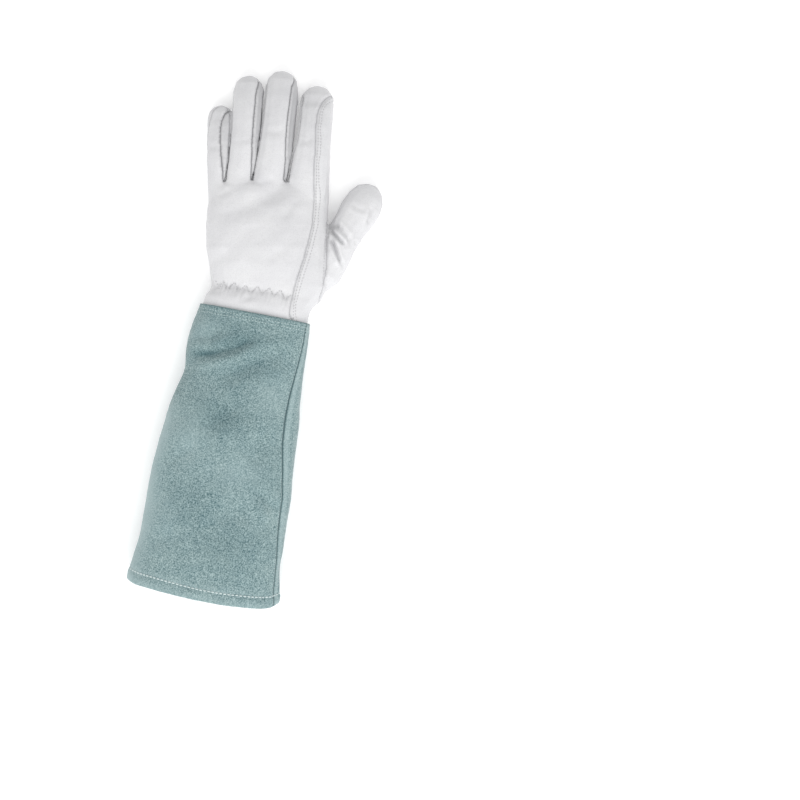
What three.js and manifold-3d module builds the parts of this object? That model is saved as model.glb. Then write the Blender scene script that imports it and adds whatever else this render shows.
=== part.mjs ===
// A left-hand rose pruning gauntlet, lying palm down with its fingers along +Y, its thumb towards +X
// and the back of the hand up. Millimetres, +Z up. The leather hand is cut as a real one is: a back
// panel, a palm panel that wraps round the index finger, a two-piece thumb and three forked strips
// between the fingers. A long split-leather cuff, closed by one side seam, covers the wrist end.
import * as THREE from 'three';
import { mergeVertices } from 'three/addons/utils/BufferGeometryUtils.js';
import Module from 'manifold-3d';

const wasm = await Module();
wasm.setup();

// Driving dimensions, in millimetres and degrees
const handLeather = 1.2;
const cuffLeather = 1.6;
const seamGap = 0.3;
const lapClearance = 0.3;

const cuffLength = 218;
const cuffTopWidth = 84.4;
const cuffTopDepth = 42;
const cuffHemWidth = 120;
const cuffHemDepth = 52;
const cuffSink = 5;
const cuffLeanAngle = 10.7;
const hemBow = 7.6;
const hemSkew = 1.6;
const hemBand = 8;
const hemFold = 1.4;
const lapLength = 14;

const palmLength = 104;
const palmWidth = 94;
const palmDepth = 37;
const palmSink = 4;
const pleatDepth = 0.8;
const fingerLength = 85.5;
const fingerWidth = 24;
const fingerDepth = 23;
const thumbLength = 95;
const thumbWidth = 29;
const thumbDepth = 25;
const thumbLeanAngle = 26;
const thumbBendAngle = 13;
const thumbRollAngle = 8;
const thumbSeamHeight = 14;
const keystoneReach = 15;
const stripOverrun = 2;

// Shares of a half height, a half width or a quarter turn
const stripShare = 0.62;
const stripInnerShare = 0.3;
const stripTipShare = 0.12;
const webShare = 0.8;
const tipClosingShare = 0.94;
const foldFadeShare = 0.6;

// How finely the skins are faceted
const armPoints = 30;
const fingerPoints = 14;
const thumbPoints = 16;
const tipSteps = 3;

// One row for each cross-section of the cuff, from its top edge to the hem. at is a share of the
// cuff's length, left and right are shares of the straight taper's half width, and seam is the
// angle of the side seam above the floor, in degrees.
const CUFF_SECTIONS = [
  { at: 0.0, left: 1.0, right: 1.015, high: 1.0, seam: 14 },
  { at: 0.05, left: 1.075, right: 1.03, high: 1.03, seam: 17 },
  { at: 0.127, left: 1.085, right: 1.03, high: 1.04, seam: 23 },
  { at: 0.194, left: 1.035, right: 1.02, high: 1.0, seam: 29 },
  { at: 0.232, left: 0.97, right: 1.02, high: 0.98, seam: 34 },
  { at: 0.285, left: 1.015, right: 1.02, high: 1.0, seam: 38 },
  { at: 0.344, left: 1.055, right: 1.025, high: 1.02, seam: 40 },
  { at: 0.454, left: 1.09, right: 1.02, high: 1.03, seam: 37 },
  { at: 0.61, left: 1.075, right: 1.03, high: 1.01, seam: 29 },
  { at: 0.748, left: 1.025, right: 0.985, high: 0.99, seam: 24 },
  { at: 0.876, left: 0.99, right: 0.965, high: 0.99, seam: 18 },
  { at: 1.0, left: 1.0, right: 1.02, high: 1.0, seam: 20 },
];

// Soft folds of the cuff. along is a share of its length, across a share of its half width
// (negative on the little finger's side), depth a share of the top depth, width a share of the length.
const CUFF_FOLDS = [
  { along: [0.2, 0.12], across: [-1.1, -0.1], depth: 0.075, width: 0.045 },
  { along: [0.36, 0.44], across: [0.95, 0.55], depth: 0.06, width: 0.06 },
  { along: [0.3, 0.42], across: [-0.75, 0.0], depth: 0.04, width: 0.07 },
  { along: [0.62, 0.7], across: [-0.5, 0.45], depth: 0.035, width: 0.08 },
];

// One row for each cross-section of the hand, from just above the cuff to the web of the fingers.
// at is a share of the palm's length, left and right of its width, high of its depth. turn is the
// share of the cuff's lean that the section keeps, and pleat the share of the gathers' depth.
const PALM_SECTIONS = [
  { at: 0.048, left: 0.412, right: 0.441, low: 0, high: 1.14, turn: 1.0, pleat: 0.2 },
  { at: 0.115, left: 0.367, right: 0.489, low: 0, high: 1.06, turn: 0.9, pleat: 0.7 },
  { at: 0.18, left: 0.362, right: 0.548, low: 0, high: 1.0, turn: 0.8, pleat: 1.0 },
  { at: 0.26, left: 0.374, right: 0.596, low: 0, high: 1.02, turn: 0.6, pleat: 0.5 },
  { at: 0.37, left: 0.386, right: 0.608, low: 0, high: 1.05, turn: 0.3, pleat: 0 },
  { at: 0.5, left: 0.402, right: 0.606, low: 0, high: 1.06, turn: 0, pleat: 0 },
  { at: 0.67, left: 0.402, right: 0.602, low: 0, high: 1.0, turn: 0, pleat: 0 },
  { at: 0.81, left: 0.392, right: 0.606, low: 0, high: 0.92, turn: 0, pleat: 0 },
  { at: 0.91, left: 0.372, right: 0.612, low: 0.02, high: 0.84, turn: 0, pleat: 0 },
  { at: 0.965, left: 0.36, right: 0.606, low: 0.08, high: 0.77, turn: 0, pleat: 0 },
  { at: 1.0, left: 0.34, right: 0.59, low: 0.2, high: 0.66, turn: 0, pleat: 0 },
];

// Dents in the back of the hand: x as a share of the palm's width and y of its length from the
// middle of the cuff's edge, depth a share of the palm's depth and width of its width.
const HAND_FOLDS = [
  { x: [0.27, -0.3], y: [0.94, 0.66], depth: 0.06, width: 0.07 },
  { x: [0.1, -0.2], y: [0.6, 0.42], depth: 0.035, width: 0.09 },
];

// The fingers, from the little finger to the index. x and y place the middle of the finger's root, as
// shares of the palm's width and length. long, wide, root and deep are shares of the middle finger's
// length, width, width and depth. lean and roll are in degrees.
const FINGERS = [
  { name: 'little', x: -0.297, y: 0.945, long: 0.77, wide: 0.84, root: 0.56, deep: 0.83, lean: 0.8, roll: 30 },
  { name: 'ring', x: -0.106, y: 1.0, long: 0.98, wide: 0.92, root: 0.83, deep: 0.94, lean: 3.2, roll: 20 },
  { name: 'middle', x: 0.145, y: 1.015, long: 1.0, wide: 1.0, root: 0.98, deep: 1.0, lean: 5.4, roll: 16 },
  { name: 'index', x: 0.46, y: 1.0, long: 0.88, wide: 1.08, root: 1.22, deep: 1.04, lean: 4.4, roll: 8 },
].map((finger) => ({
  ...finger,
  length: finger.long * fingerLength,
  width: finger.wide * fingerWidth,
  rootWidth: finger.root * fingerWidth,
  depth: finger.deep * fingerDepth,
}));

// One row for each cross-section of a finger: at is a share of its length from the web, full is how
// much of the way from the root's width to the finger's own it has, low and high are shares of its
// depth, and strip is the share of its full height that the strip beside it has there.
const FINGER_SECTIONS = [
  { at: -0.3, full: 0, narrow: 0.86, low: 0.2, high: 1.14, strip: 0.5 },
  { at: -0.08, full: 0, narrow: 0.97, low: 0.2, high: 1.26, strip: 0.6 },
  { at: 0.12, full: 0.3, narrow: 1.0, low: 0.24, high: 1.26, strip: 0.75 },
  { at: 0.34, full: 0.8, narrow: 1.0, low: 0.28, high: 1.24, strip: 1.0 },
  { at: 0.56, full: 1.0, narrow: 1.0, low: 0.23, high: 1.14, strip: 1.05 },
  { at: 0.76, full: 1.0, narrow: 1.0, low: 0.1, high: 0.98, strip: 1.0 },
];

// The closing of a tip: round is how far back it starts, as a share of the width, and the other
// columns are those of the sections.
const FINGER_TIP = { round: 0.52, full: 1, narrow: 1, low: 0.0, high: 0.86 };
const THUMB_TIP = { round: 0.5, wide: 0.92, low: 0.02, high: 0.9 };

// The thumb's middle line starts inside the palm, at these shares of its width and length.
const thumbRoot = { x: 0.489, y: 0.192 };
const THUMB_SECTIONS = [
  { at: 0.0, wide: 0.5, low: 0.1, high: 0.9 },
  { at: 0.15, wide: 1.02, low: 0.02, high: 1.12 },
  { at: 0.3, wide: 1.04, low: 0.04, high: 1.14 },
  { at: 0.46, wide: 1.01, low: 0.06, high: 1.08 },
  { at: 0.62, wide: 0.97, low: 0.06, high: 1.02 },
  { at: 0.75, wide: 0.94, low: 0.04, high: 0.98 },
];

// Folds that run from the thumb's crotch: along is a share of the thumb's length, across of its half
// width, positive on the outer side; depth is a share of its depth, width of its width.
const THUMB_FOLDS = [
  { along: [0.42, 0.34], across: [-1.0, 0.55], depth: 0.1, width: 0.13 },
  { along: [0.53, 0.5], across: [-1.0, 0.35], depth: 0.07, width: 0.12 },
  { along: [0.66, 0.56], across: [0.95, 0.45], depth: 0.06, width: 0.1 },
];

// The seam between back panel and palm panel on the back of the hand, from wrist to index finger.
// On the hand x is a share of the palm's width and y of its length; on the finger along is a share
// of the finger's length and across of its half width.
const INDEX_SEAM_ON_HAND = [
  { x: 0.315, y: -0.2 },
  { x: 0.31, y: -0.03 },
  { x: 0.305, y: 0.085 },
  { x: 0.316, y: 0.125 },
  { x: 0.342, y: 0.222 },
  { x: 0.37, y: 0.303 },
  { x: 0.417, y: 0.428 },
  { x: 0.453, y: 0.552 },
  { x: 0.48, y: 0.66 },
  { x: 0.489, y: 0.76 },
];
const INDEX_SEAM_ON_FINGER = [
  { along: 0.0, across: 0.28 },
  { along: 0.3, across: 0.16 },
  { along: 0.55, across: 0.08 },
  { along: 0.72, across: 0.12 },
  { along: 0.82, across: 0.32 },
  { along: 0.89, across: 0.66 },
  { along: 0.93, across: 1.4 },
];

// The height of the seam along the little finger's side, where back panel and palm panel meet:
// y is a share of the palm's length and z of its depth.
const SIDE_SEAM = [
  { y: -0.4, z: 0.35 },
  { y: 0.6, z: 0.35 },
  { y: 0.92, z: 0.42 },
  { y: 1.05, z: 0.42 },
  { y: 1.3, z: 0.39 },
  { y: 1.43, z: 0.35 },
  { y: 1.58, z: 0.3 },
  { y: 2.1, z: 0.25 },
];

// The thumb's seam on the back of the hand, and how far the palm side's reaches in from it.
const THUMB_SEAM = [
  { x: 0.52, y: 0.06, reach: 0.0 },
  { x: 0.551, y: 0.15, reach: 0.45 },
  { x: 0.578, y: 0.25, reach: 0.85 },
  { x: 0.594, y: 0.36, reach: 1.0 },
  { x: 0.596, y: 0.48, reach: 0.85 },
  { x: 0.592, y: 0.58, reach: 0.5 },
  { x: 0.594, y: 0.68, reach: 0.1 },
  { x: 0.65, y: 0.76, reach: 0.0 },
  { x: 0.72, y: 2.0, reach: 0.0 },
];

const UP = new THREE.Vector3(0, 0, 1);
const radians = THREE.MathUtils.degToRad;
const lerp = THREE.MathUtils.lerp;
const farAway = 2 * (cuffLength + palmLength);

// The direction across the top of the page turned clockwise by an angle in degrees.
function forwardOf(heading) {
  return new THREE.Vector3(Math.sin(radians(heading)), Math.cos(radians(heading)), 0);
}

function rightOf(heading) {
  return new THREE.Vector3(Math.cos(radians(heading)), -Math.sin(radians(heading)), 0);
}

// Linear reading of a table's column at a place between its rows.
function readTable(rows, key, column, place) {
  const next = rows.findIndex((row) => row[key] >= place);
  if (next === 0) return rows[0][column];
  if (next < 0) return rows[rows.length - 1][column];
  const before = rows[next - 1];
  const after = rows[next];
  const share = (place - before[key]) / (after[key] - before[key]);
  return lerp(before[column], after[column], share);
}

// How deep a point lies in a set of straight folds with soft, rounded sides.
function foldDepth(folds, x, y) {
  const point = new THREE.Vector2(x, y);
  let depth = 0;
  for (const fold of folds) {
    const line = fold.to.clone().sub(fold.from);
    const share = THREE.MathUtils.clamp(point.clone().sub(fold.from).dot(line) / line.lengthSq(), 0, 1);
    const away = fold.from.clone().addScaledVector(line, share).distanceTo(point);
    const fade = 1 - foldFadeShare * share;
    depth += fold.depth * fade * Math.exp(-((away / fold.width) ** 2));
  }
  return depth;
}

// A rounded oval across a path. It reaches from -left to right and from low to high, and what would
// pass below the floor is laid flat on it. dent lowers the upper side, pleat ripples it, and bow and
// skew curve and slant a rim.
function ovalRing(section) {
  const { centre, heading, left, right, low, high, count } = section;
  const { roll = 0, power, inset, bow = 0, skew = 0, pleat = 0, dent = null } = section;
  const across = rightOf(heading);
  const along = forwardOf(heading);
  const halfWidth = (left + right) / 2 - inset;
  const halfDepth = (high - low) / 2 - inset;
  const middle = centre.clone().addScaledVector(across, (right - left) / 2);
  const ring = [];
  for (let i = 0; i < count; i++) {
    const angle = (2 * Math.PI * i) / count;
    const ripple = 1 + (pleat * (i % 2 ? 1 : -1)) / (halfWidth + halfDepth);
    const u = halfWidth * ripple * Math.sign(Math.cos(angle)) * Math.abs(Math.cos(angle)) ** (2 / power);
    const w = halfDepth * ripple * Math.sign(Math.sin(angle)) * Math.abs(Math.sin(angle)) ** (2 / power);
    const turn = radians(roll);
    const uTurned = u * Math.cos(turn) - w * Math.sin(turn);
    const wTurned = u * Math.sin(turn) + w * Math.cos(turn);
    const point = middle.clone().addScaledVector(across, uTurned);
    point.addScaledVector(along, -bow * Math.sin(angle) ** 2 - skew * Math.cos(angle));
    const upness = Math.max(0, Math.sin(angle));
    const drop = dent ? dent(point.x, point.y) * Math.min(1, 1.6 * upness) : 0;
    point.z = Math.max((low + high) / 2 + wTurned - drop, inset);
    ring.push(point);
  }
  return ring;
}

function averageOf(points) {
  return points.reduce((sum, p) => sum.add(p), new THREE.Vector3()).divideScalar(points.length);
}

function solidOfGeometry(geometry) {
  const bare = geometry.clone();
  bare.deleteAttribute('normal');
  bare.deleteAttribute('uv');
  const merged = mergeVertices(bare, 1e-4);
  return new wasm.Manifold(new wasm.Mesh({
    numProp: 3,
    vertProperties: new Float32Array(merged.attributes.position.array),
    triVerts: new Uint32Array(merged.index.array),
  }));
}

// A closed skin through rings that hold the same number of points each, capped at both ends.
function loft(rings) {
  const count = rings[0].length;
  const points = [...rings.flat(), averageOf(rings[0]), averageOf(rings[rings.length - 1])];
  const startCentre = points.length - 2;
  const endCentre = points.length - 1;
  const lastRing = (rings.length - 1) * count;
  const faces = [];
  for (let r = 0; r < rings.length - 1; r++) {
    for (let i = 0; i < count; i++) {
      const a = r * count + i;
      const b = r * count + ((i + 1) % count);
      faces.push(a, a + count, b, b, a + count, b + count);
    }
  }
  for (let i = 0; i < count; i++) {
    const next = (i + 1) % count;
    faces.push(startCentre, i, next, endCentre, lastRing + next, lastRing + i);
  }
  const geometry = new THREE.BufferGeometry().setFromPoints(points);
  geometry.setIndex(faces);
  return solidOfGeometry(geometry);
}

// A prism over a plan outline, through the whole height of the glove unless heights are given.
function planPrism(outline, low = -farAway, high = farAway) {
  const shape = new THREE.Shape(outline);
  const geometry = new THREE.ExtrudeGeometry(shape, { depth: high - low, bevelEnabled: false });
  geometry.translate(0, 0, low);
  return solidOfGeometry(geometry);
}

// Cuff

function cuffHalfWidth(along) {
  return lerp(cuffTopWidth, cuffHemWidth, along) / 2;
}

function cuffPlace(along, across) {
  const centre = forwardOf(cuffLeanAngle).multiplyScalar(-along * cuffLength);
  return centre.addScaledVector(rightOf(cuffLeanAngle), across * cuffHalfWidth(along));
}

const cuffFolds = CUFF_FOLDS.map((fold) => {
  const from = cuffPlace(fold.along[0], fold.across[0]);
  const to = cuffPlace(fold.along[1], fold.across[1]);
  return {
    from: new THREE.Vector2(from.x, from.y),
    to: new THREE.Vector2(to.x, to.y),
    depth: fold.depth * cuffTopDepth,
    width: fold.width * cuffLength,
  };
});

function cuffRing(along, inset) {
  const half = cuffHalfWidth(along);
  return ovalRing({
    centre: cuffPlace(along, 0),
    heading: cuffLeanAngle,
    left: half * readTable(CUFF_SECTIONS, 'at', 'left', along),
    right: half * readTable(CUFF_SECTIONS, 'at', 'right', along),
    low: -cuffSink,
    high: lerp(cuffTopDepth, cuffHemDepth, along) * readTable(CUFF_SECTIONS, 'at', 'high', along),
    power: 2.3,
    count: armPoints,
    inset,
    bow: hemBow * along ** 3,
    skew: hemSkew * along ** 3,
    dent: (x, y) => foldDepth(cuffFolds, x, y),
  });
}

// The cuff's inner skin runs past both rims so that it cuts them open, and steps in at the turned hem.
function cuffInnerRings() {
  const bandStart = 1 - hemBand / cuffLength;
  const rows = CUFF_SECTIONS.map((row) => row.at).filter((at) => at < bandStart - 0.02);
  const rings = rows.map((at) => cuffRing(at, cuffLeather));
  rings.push(cuffRing(bandStart - 0.004, cuffLeather));
  rings.push(cuffRing(bandStart, cuffLeather + hemFold));
  rings.push(cuffRing(1, cuffLeather + hemFold));
  const past = forwardOf(cuffLeanAngle).multiplyScalar(cuffLeather + hemBand);
  rings.unshift(rings[0].map((p) => p.clone().add(past)));
  rings.push(rings[rings.length - 1].map((p) => p.clone().sub(past)));
  return rings.reverse();
}

// A thin blade that opens the cuff along its side seam.
function sideSeamBlade() {
  const rings = [];
  for (const row of [...CUFF_SECTIONS].reverse()) {
    const ring = cuffRing(row.at, cuffLeather / 2);
    const centre = averageOf(ring);
    const place = (row.seam / 360) * armPoints;
    const before = ring[Math.floor(place)];
    const after = ring[Math.floor(place) + 1];
    const seam = before.clone().lerp(after, place % 1);
    const out = seam.clone().sub(centre).normalize();
    const side = new THREE.Vector3().crossVectors(out, forwardOf(cuffLeanAngle)).setLength(seamGap / 2);
    const reach = 3 * (cuffLeather + hemFold);
    const inner = seam.clone().addScaledVector(out, -reach);
    const outer = seam.clone().addScaledVector(out, reach);
    rings.push([
      inner.clone().sub(side), outer.clone().sub(side), outer.clone().add(side), inner.clone().add(side),
    ]);
  }
  const past = forwardOf(cuffLeanAngle).multiplyScalar(hemBow + hemBand);
  rings.unshift(rings[0].map((p) => p.clone().sub(past)));
  rings.push(rings[rings.length - 1].map((p) => p.clone().add(past)));
  return loft(rings);
}

function makeCuff() {
  const outer = loft(CUFF_SECTIONS.map((row) => cuffRing(row.at, 0)).reverse());
  return outer.subtract(loft(cuffInnerRings())).subtract(sideSeamBlade());
}

// Hand

const handFolds = HAND_FOLDS.map((fold) => ({
  from: new THREE.Vector2(fold.x[0] * palmWidth, fold.y[0] * palmLength),
  to: new THREE.Vector2(fold.x[1] * palmWidth, fold.y[1] * palmLength),
  depth: fold.depth * palmDepth,
  width: fold.width * palmWidth,
}));

// The wrist end lies inside the cuff, and follows its inner skin with a small clearance.
function palmRings(inset) {
  const seat = cuffLeather + lapClearance;
  const lap = lapLength / cuffLength;
  const rings = [];
  if (inset > 0) rings.push(cuffRing(lap + inset / cuffLength, seat + inset));
  for (const at of [lap, 0.4 * lap, 0]) {
    rings.push(cuffRing(at, seat + inset).map((p) => p.setZ(Math.max(p.z, seat + inset))));
  }
  for (const row of PALM_SECTIONS) {
    rings.push(ovalRing({
      centre: new THREE.Vector3(0, row.at * palmLength, 0),
      heading: cuffLeanAngle * row.turn,
      left: row.left * palmWidth,
      right: row.right * palmWidth,
      low: row.low * palmDepth - palmSink,
      high: row.high * palmDepth,
      power: 2.6,
      count: armPoints,
      inset: row.at === 1 ? inset * 1.5 : inset,
      pleat: row.pleat * pleatDepth,
      dent: (x, y) => foldDepth(handFolds, x, y),
    }));
  }
  if (inset > 0) {
    const last = rings.length - 1;
    rings[last] = rings[last].map((p) => p.setY(p.y - inset));
  }
  return rings;
}

function fingerPlace(finger, along, across) {
  const root = new THREE.Vector3(finger.x * palmWidth, finger.y * palmLength, 0);
  root.addScaledVector(forwardOf(finger.lean), along * finger.length);
  return root.addScaledVector(rightOf(finger.lean), (across * finger.width) / 2);
}

// The rows of a finger or thumb, with rounded rows added where its tip closes.
function rowsToTip(rows, tip, inset, length, width) {
  const round = (tip.round * width) / length;
  const start = 1 - round;
  const made = rows.filter((row) => row.at < start - 0.02).map((row) => ({ ...row, scale: 1 }));
  const reach = round - inset / length;
  for (let i = 0; i <= tipSteps; i++) {
    const angle = ((i / tipSteps) * tipClosingShare * Math.PI) / 2;
    made.push({ ...tip, at: start + reach * Math.sin(angle), scale: Math.cos(angle) });
  }
  return made;
}

// Half width and height limits of a finger's section, before any inset.
function fingerSection(finger, row) {
  const width = lerp(finger.rootWidth, finger.width, row.full) * row.narrow;
  const low = row.low * finger.depth;
  const high = row.high * finger.depth;
  return { half: width / 2, middle: (low + high) / 2, rise: (high - low) / 2 };
}

function fingerRings(finger, inset) {
  return rowsToTip(FINGER_SECTIONS, FINGER_TIP, inset, finger.length, finger.width).map((row) => {
    const { half, middle, rise } = fingerSection(finger, row);
    const halfWidth = (half - inset) * row.scale + inset;
    const halfRise = (rise - inset) * row.scale + inset;
    return ovalRing({
      centre: fingerPlace(finger, row.at, 0),
      heading: finger.lean,
      left: halfWidth,
      right: halfWidth,
      low: middle - halfRise,
      high: middle + halfRise,
      roll: finger.roll,
      power: 2.7,
      count: fingerPoints,
      inset,
    });
  });
}

function thumbHeading(along) {
  return thumbLeanAngle + thumbBendAngle * along;
}

function thumbPlace(along, across) {
  const steps = 24;
  const place = new THREE.Vector3(thumbRoot.x * palmWidth, thumbRoot.y * palmLength, 0);
  for (let i = 0; i < steps; i++) {
    const middle = ((i + 0.5) / steps) * along;
    place.addScaledVector(forwardOf(thumbHeading(middle)), (along * thumbLength) / steps);
  }
  return place.addScaledVector(rightOf(thumbHeading(along)), (across * thumbWidth) / 2);
}

const thumbFolds = THUMB_FOLDS.map((fold) => {
  const from = thumbPlace(fold.along[0], fold.across[0]);
  const to = thumbPlace(fold.along[1], fold.across[1]);
  return {
    from: new THREE.Vector2(from.x, from.y),
    to: new THREE.Vector2(to.x, to.y),
    depth: fold.depth * thumbDepth,
    width: fold.width * thumbWidth,
  };
});

function thumbRings(inset) {
  return rowsToTip(THUMB_SECTIONS, THUMB_TIP, inset, thumbLength, thumbWidth).map((row) => {
    const middle = ((row.low + row.high) / 2) * thumbDepth;
    const rise = ((row.high - row.low) / 2) * thumbDepth;
    const halfWidth = ((row.wide * thumbWidth) / 2 - inset) * row.scale + inset;
    const halfRise = (rise - inset) * row.scale + inset;
    return ovalRing({
      centre: thumbPlace(row.at, 0),
      heading: thumbHeading(row.at),
      left: halfWidth,
      right: halfWidth,
      low: middle - halfRise,
      high: middle + halfRise,
      roll: thumbRollAngle,
      power: 2.3,
      count: thumbPoints,
      inset,
      dent: (x, y) => foldDepth(thumbFolds, x, y),
    });
  });
}

function handSkin(inset) {
  let skin = loft(palmRings(inset)).add(loft(thumbRings(inset)));
  for (const finger of FINGERS) skin = skin.add(loft(fingerRings(finger, inset)));
  return skin;
}

// Everything left of the seam that runs from the wrist to the index finger, moved right by grow.
function backPlan(grow) {
  const index = FINGERS[FINGERS.length - 1];
  const path = INDEX_SEAM_ON_HAND.map((p) => new THREE.Vector2(p.x * palmWidth + grow, p.y * palmLength));
  for (const p of INDEX_SEAM_ON_FINGER) {
    const place = fingerPlace(index, p.along, p.across);
    path.push(new THREE.Vector2(place.x + grow, place.y - grow));
  }
  const last = path[path.length - 1];
  return [
    ...path,
    new THREE.Vector2(farAway, last.y),
    new THREE.Vector2(farAway, farAway),
    new THREE.Vector2(-farAway, farAway),
    new THREE.Vector2(-farAway, path[0].y),
  ];
}

// Everything above the seam along the little finger's side.
function upperRegion(grow) {
  const seam = SIDE_SEAM.map((p) => new THREE.Vector2(p.y * palmLength, p.z * palmDepth - grow));
  const last = seam[seam.length - 1];
  const outline = [...seam, new THREE.Vector2(last.x, farAway), new THREE.Vector2(seam[0].x, farAway)];
  const shape = new THREE.Shape(outline);
  const geometry = new THREE.ExtrudeGeometry(shape, { depth: farAway, bevelEnabled: false });
  geometry.rotateX(Math.PI / 2);
  geometry.rotateZ(Math.PI / 2);
  geometry.translate(-farAway / 2, 0, 0);
  return solidOfGeometry(geometry);
}

function backRegion(grow) {
  return planPrism(backPlan(grow)).intersect(upperRegion(grow));
}

// A block along one side of a finger, between its upper and lower seams, which run together at the tip.
function fourchetteBlock(finger, side, grow) {
  const tip = { ...FINGER_TIP, strip: 1 };
  const last = 1 - (0.2 * finger.width) / finger.length;
  const rows = [...FINGER_SECTIONS.slice(1), { ...tip, at: 0.86 }, { ...tip, at: last }];
  const rings = rows.map((row, i) => {
    const { half, middle, rise } = fingerSection(finger, row);
    const closing = i === rows.length - 1 ? stripTipShare : 1;
    const band = rise * stripShare * row.strip * closing + grow;
    const near = stripInnerShare * half;
    const far = half + stripOverrun;
    const inner = side > 0 ? near : -far;
    const outer = side > 0 ? far : -near;
    const centre = fingerPlace(finger, row.at, 0).setZ(middle);
    const turn = radians(finger.roll);
    const corner = (u, w) => centre.clone()
      .addScaledVector(rightOf(finger.lean), u * Math.cos(turn) - w * Math.sin(turn))
      .addScaledVector(UP, u * Math.sin(turn) + w * Math.cos(turn));
    return [corner(inner, -band), corner(outer, -band), corner(outer, band), corner(inner, band)];
  });
  const own = loft(fingerRings(finger, -seamGap));
  return loft(rings).intersect(own);
}

// The forked strip between two neighbouring fingers, with the web that joins its two sides.
function fourchetteRegion(left, right, grow) {
  const from = fingerPlace(left, -0.06, 0);
  const to = fingerPlace(right, 0.05, 0);
  const root = fingerSection(right, FINGER_SECTIONS[1]);
  const band = root.rise * stripShare * webShare + grow;
  const outline = [
    new THREE.Vector2(lerp(from.x, to.x, 0.25) - grow, from.y - grow),
    new THREE.Vector2(lerp(from.x, to.x, 0.75) + grow, from.y - grow),
    new THREE.Vector2(lerp(from.x, to.x, 0.75) + grow, to.y),
    new THREE.Vector2(lerp(from.x, to.x, 0.25) - grow, to.y),
  ];
  const web = planPrism(outline, root.middle - band, root.middle + band);
  return fourchetteBlock(left, 1, grow).add(fourchetteBlock(right, -1, grow)).add(web);
}

function thumbPlan(reach, grow) {
  const path = THUMB_SEAM.map((p) => new THREE.Vector2(
    p.x * palmWidth - p.reach * reach - grow,
    p.y * palmLength,
  ));
  return [
    ...path,
    new THREE.Vector2(farAway, path[path.length - 1].y),
    new THREE.Vector2(farAway, path[0].y - farAway),
  ];
}

// The thumb's back half above its side seams, and its palm half with the keystone below them.
function thumbBackRegion(grow) {
  return planPrism(thumbPlan(0, grow), thumbSeamHeight - grow);
}

function thumbFrontRegion(grow) {
  return planPrism(thumbPlan(keystoneReach, grow), -farAway, thumbSeamHeight + grow);
}

const glove = new THREE.Group();

const hide = new THREE.MeshStandardMaterial({ color: 0xe6e6e8, roughness: 0.55, metalness: 0 });
const suede = new THREE.MeshStandardMaterial({ color: 0x8ba5a7, roughness: 0.95, metalness: 0 });

function addPiece(name, solid, material) {
  const mesh = solid.getMesh();
  const positions = new Float32Array(mesh.numVert * 3);
  for (let i = 0; i < mesh.numVert; i++) {
    positions.set(mesh.vertProperties.subarray(i * mesh.numProp, i * mesh.numProp + 3), i * 3);
  }
  const geometry = new THREE.BufferGeometry();
  geometry.setAttribute('position', new THREE.BufferAttribute(positions, 3));
  geometry.setIndex(new THREE.BufferAttribute(new Uint32Array(mesh.triVerts), 1));
  geometry.computeVertexNormals();
  const piece = new THREE.Mesh(geometry, material);
  piece.name = name;
  glove.add(piece);
}

const shell = handSkin(0).subtract(handSkin(handLeather));
const halfGap = seamGap / 2;
const gussets = FINGERS.slice(0, -1).map((finger, i) => [finger, FINGERS[i + 1]]);
let rest = shell;
for (const [left, right] of gussets) {
  const strip = shell.intersect(fourchetteRegion(left, right, -halfGap));
  addPiece(`fourchette_${left.name}_${right.name}`, strip, hide);
  rest = rest.subtract(fourchetteRegion(left, right, halfGap));
}
addPiece('thumb_back', rest.intersect(thumbBackRegion(-halfGap)), hide);
addPiece('thumb_front', rest.intersect(thumbFrontRegion(-halfGap)), hide);
rest = rest.subtract(thumbBackRegion(halfGap)).subtract(thumbFrontRegion(halfGap));
addPiece('back_panel', rest.intersect(backRegion(-halfGap)), hide);
addPiece('palm_panel', rest.subtract(backRegion(halfGap)), hide);
addPiece('cuff', makeCuff(), suede);

// The part's origin is on the floor, below the middle of the glove.
const bounds = new THREE.Box3().setFromObject(glove);
const middle = bounds.getCenter(new THREE.Vector3());
glove.position.set(-middle.x, -middle.y, -bounds.min.z);

export default glove;
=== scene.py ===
import math

import bpy
import numpy as np
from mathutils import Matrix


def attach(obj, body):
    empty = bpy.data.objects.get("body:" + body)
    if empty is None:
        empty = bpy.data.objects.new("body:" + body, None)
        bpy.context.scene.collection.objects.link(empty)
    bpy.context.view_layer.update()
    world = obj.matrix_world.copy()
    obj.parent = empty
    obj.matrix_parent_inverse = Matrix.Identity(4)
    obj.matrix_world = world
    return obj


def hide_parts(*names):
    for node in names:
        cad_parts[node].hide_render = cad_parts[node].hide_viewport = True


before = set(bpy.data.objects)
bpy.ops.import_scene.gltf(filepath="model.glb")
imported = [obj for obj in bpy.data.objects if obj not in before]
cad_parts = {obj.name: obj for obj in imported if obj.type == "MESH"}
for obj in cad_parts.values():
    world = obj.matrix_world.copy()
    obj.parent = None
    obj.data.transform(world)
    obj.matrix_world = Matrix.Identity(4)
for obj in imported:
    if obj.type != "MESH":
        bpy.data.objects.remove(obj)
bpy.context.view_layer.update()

import openvdb
from mathutils import Vector, noise
from mathutils.bvhtree import BVHTree
from mathutils.kdtree import KDTree
from numpy.linalg import norm

# Sizes are in millimetres in the part's frame: +X to the thumb's side, +Y to the fingertips, +Z up.
MM = 0.001
CUFF_LEAN = math.radians(10.7)
CUFF_LENGTH = 218.0
HEM_BOW = 7.6
HEM_SKEW = 1.6
HAND_LEATHER = 1.1
CUFF_LEATHER = 1.5

# The picture is taken from straight above its own middle. Places in it are in its pixels.
PICTURE_SIZE = 800
PICTURE_MIDDLE = np.array([111.9, -48.0])
PICTURE_SCALE = 0.787
CAMERA_HEIGHT = 2000.0

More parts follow.
